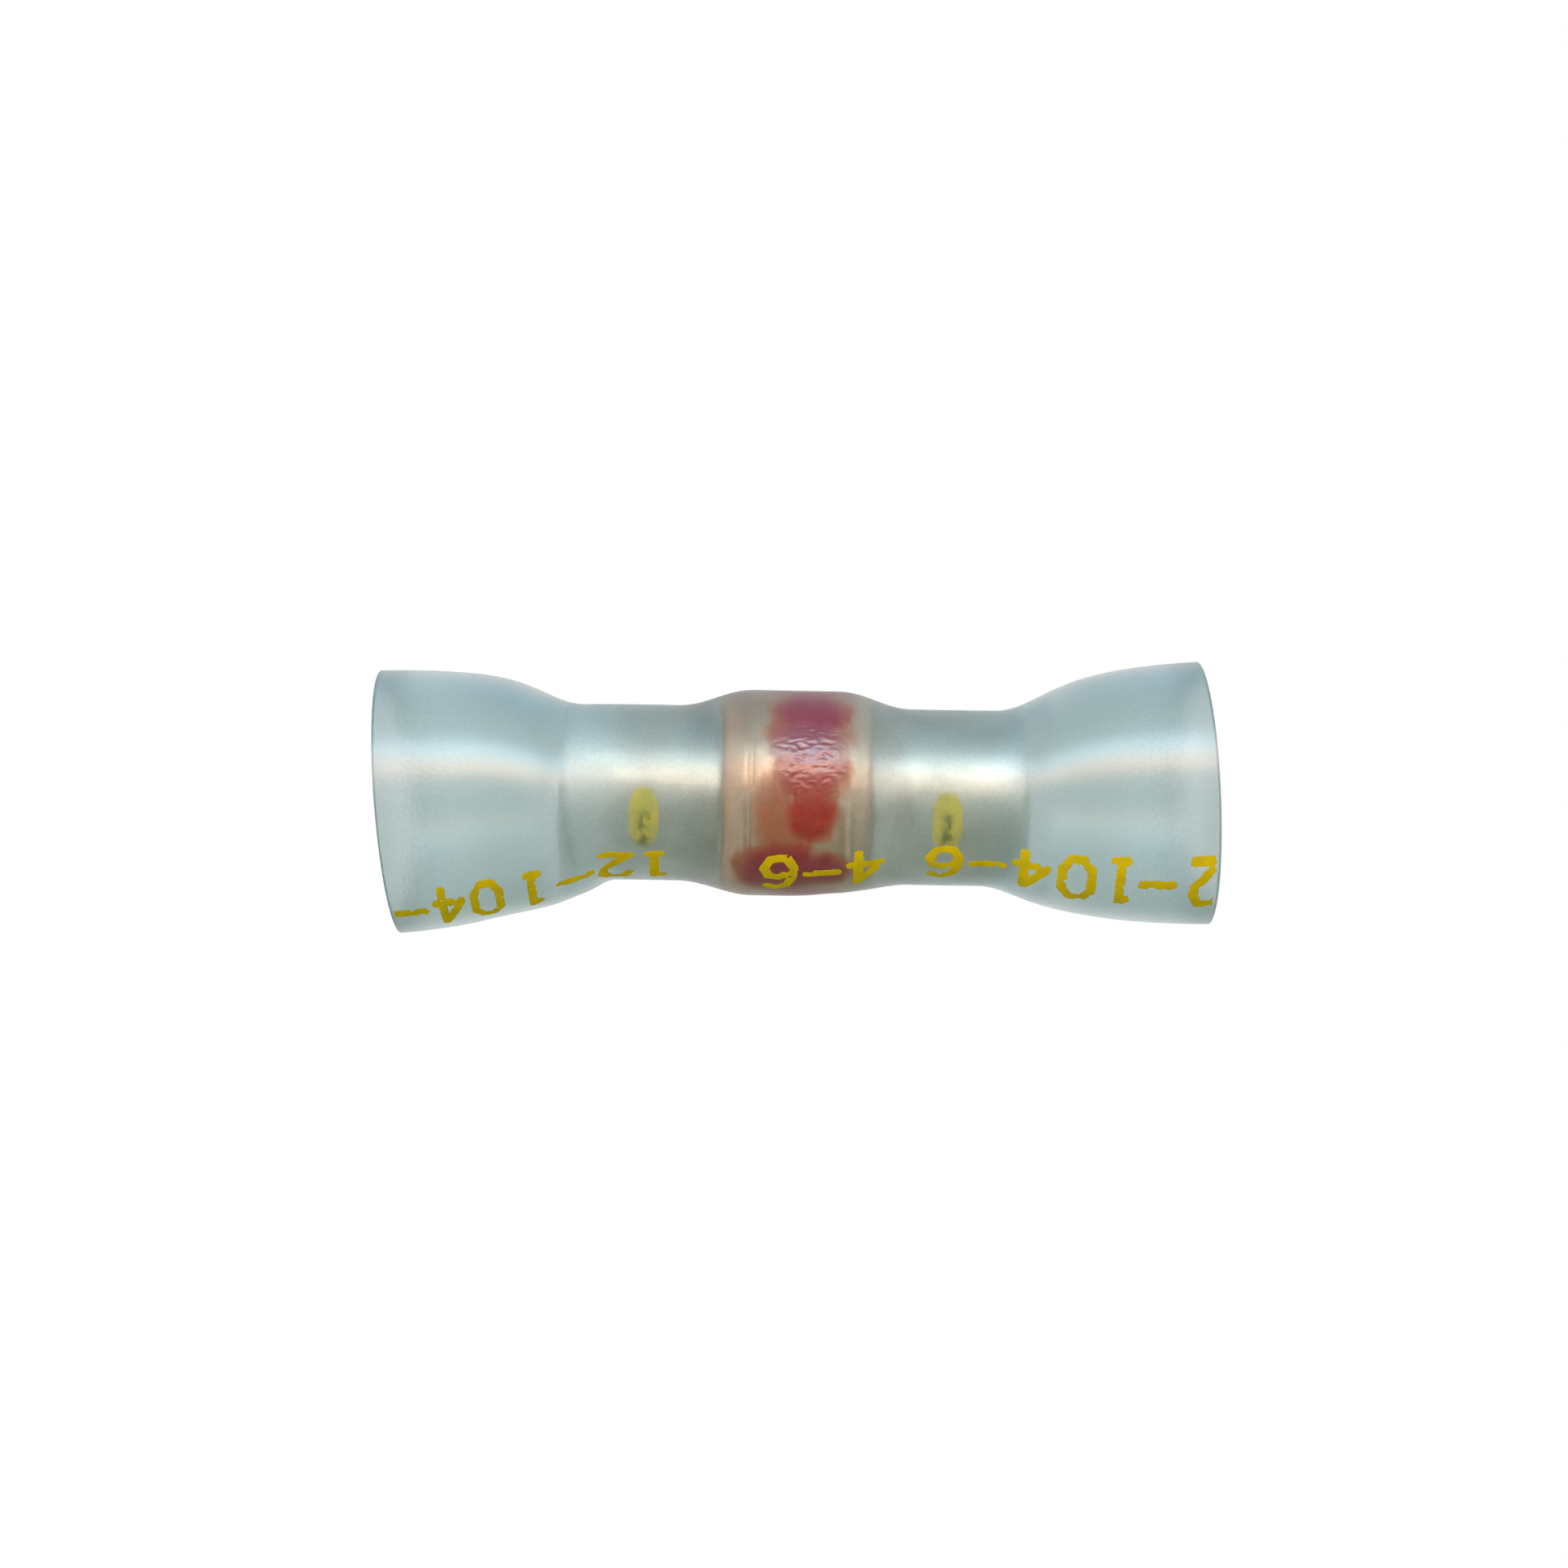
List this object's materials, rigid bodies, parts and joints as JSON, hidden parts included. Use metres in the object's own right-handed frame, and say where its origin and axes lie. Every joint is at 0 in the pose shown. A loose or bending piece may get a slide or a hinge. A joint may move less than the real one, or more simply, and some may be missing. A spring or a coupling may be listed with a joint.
{
  "type": "butt splice connector",
  "caption": "Translucent heat-shrink sleeve with flared ends, shrunk over a tinned crimp barrel that carries a fluxed solder ring, to join wires end to end and seal them.",
  "frame": {"origin": "middle of the lower rim, on the surface that the connector stands on", "axes": "+Z along the barrel's axis, up through the sleeve"},
  "size_m": [0.0126, 0.0116, 0.0365],
  "materials": {
    "frosted_sleeve": "frosted, translucent",
    "tinned_copper": "satin tin plate",
    "solder": "dull, stained by flux",
    "red_flux": "glossy, smeared"
  },
  "bodies": {
    "root": {"heat_shrink_sleeve": "frosted_sleeve", "crimp_barrel": "tinned_copper", "solder_ring": "solder", "flux_band": "red_flux"}
  },
  "joints": []
}
